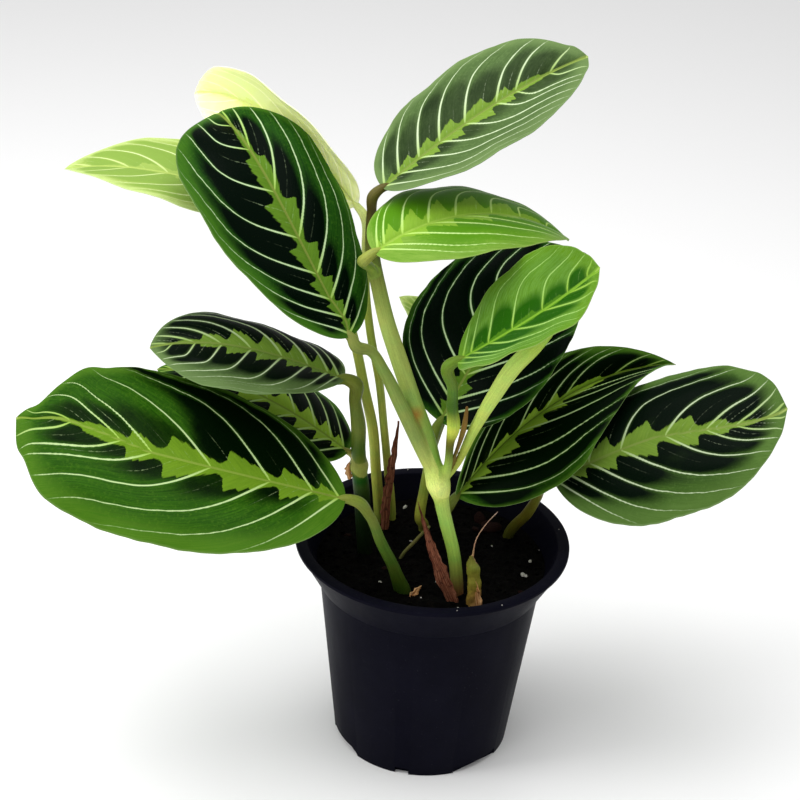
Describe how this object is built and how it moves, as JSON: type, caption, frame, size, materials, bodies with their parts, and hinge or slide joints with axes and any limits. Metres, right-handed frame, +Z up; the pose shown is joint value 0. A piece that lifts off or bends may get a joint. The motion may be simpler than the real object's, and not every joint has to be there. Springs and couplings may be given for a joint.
{
  "type": "potted prayer plant",
  "caption": "Leafy house plant with patterned oval leaves on upright stalks, growing in soil in a round tapered nursery pot.",
  "frame": {"origin": "centre of the pot's flat underside, on the surface that it stands on", "axes": "+X to the right as the picture shows it, +Y away from its camera, +Z up"},
  "size_m": [0.2857, 0.1389, 0.2867],
  "materials": {
    "pot_plastic": "satin moulded black plastic",
    "peat_soil": "loose dark peat with perlite and bark",
    "mature_leaf": "satin living leaf, near-black blotches, pale veins",
    "lime_leaf": "satin young leaf, lime with green patches",
    "pale_leaf": "satin pale leaf with parallel veins",
    "young_leaf": "thin unfurling leaf, pale yellow-green",
    "green_stem": "satin living stalk",
    "dry_sheath": "dry papery leaf sheath"
  },
  "bodies": {
    "root": {"pot": "pot_plastic", "soil": "peat_soil", "leaf_lower_left": "mature_leaf", "leaf_behind_lower_left": "mature_leaf", "leaf_small_left": "mature_leaf", "leaf_upper_left": "mature_leaf", "leaf_pale_left": "pale_leaf", "leaf_young_pale": "young_leaf", "leaf_top_right": "mature_leaf", "leaf_mid_right": "lime_leaf", "leaf_curled_right": "lime_leaf", "leaf_back_dark": "mature_leaf", "leaf_right_long": "mature_leaf", "leaf_far_right": "mature_leaf", "leaf_hidden_back": "pale_leaf", "stem_lower_left": "green_stem", "stem_left": "green_stem", "stem_pale_left": "green_stem", "stem_young": "green_stem", "stem_main": "green_stem", "stem_back": "green_stem", "stem_right_long": "green_stem", "stem_far_right": "green_stem", "stub": "green_stem", "twig": "green_stem", "sheath_left": "dry_sheath", "sheath_front": "dry_sheath"}
  },
  "joints": []
}
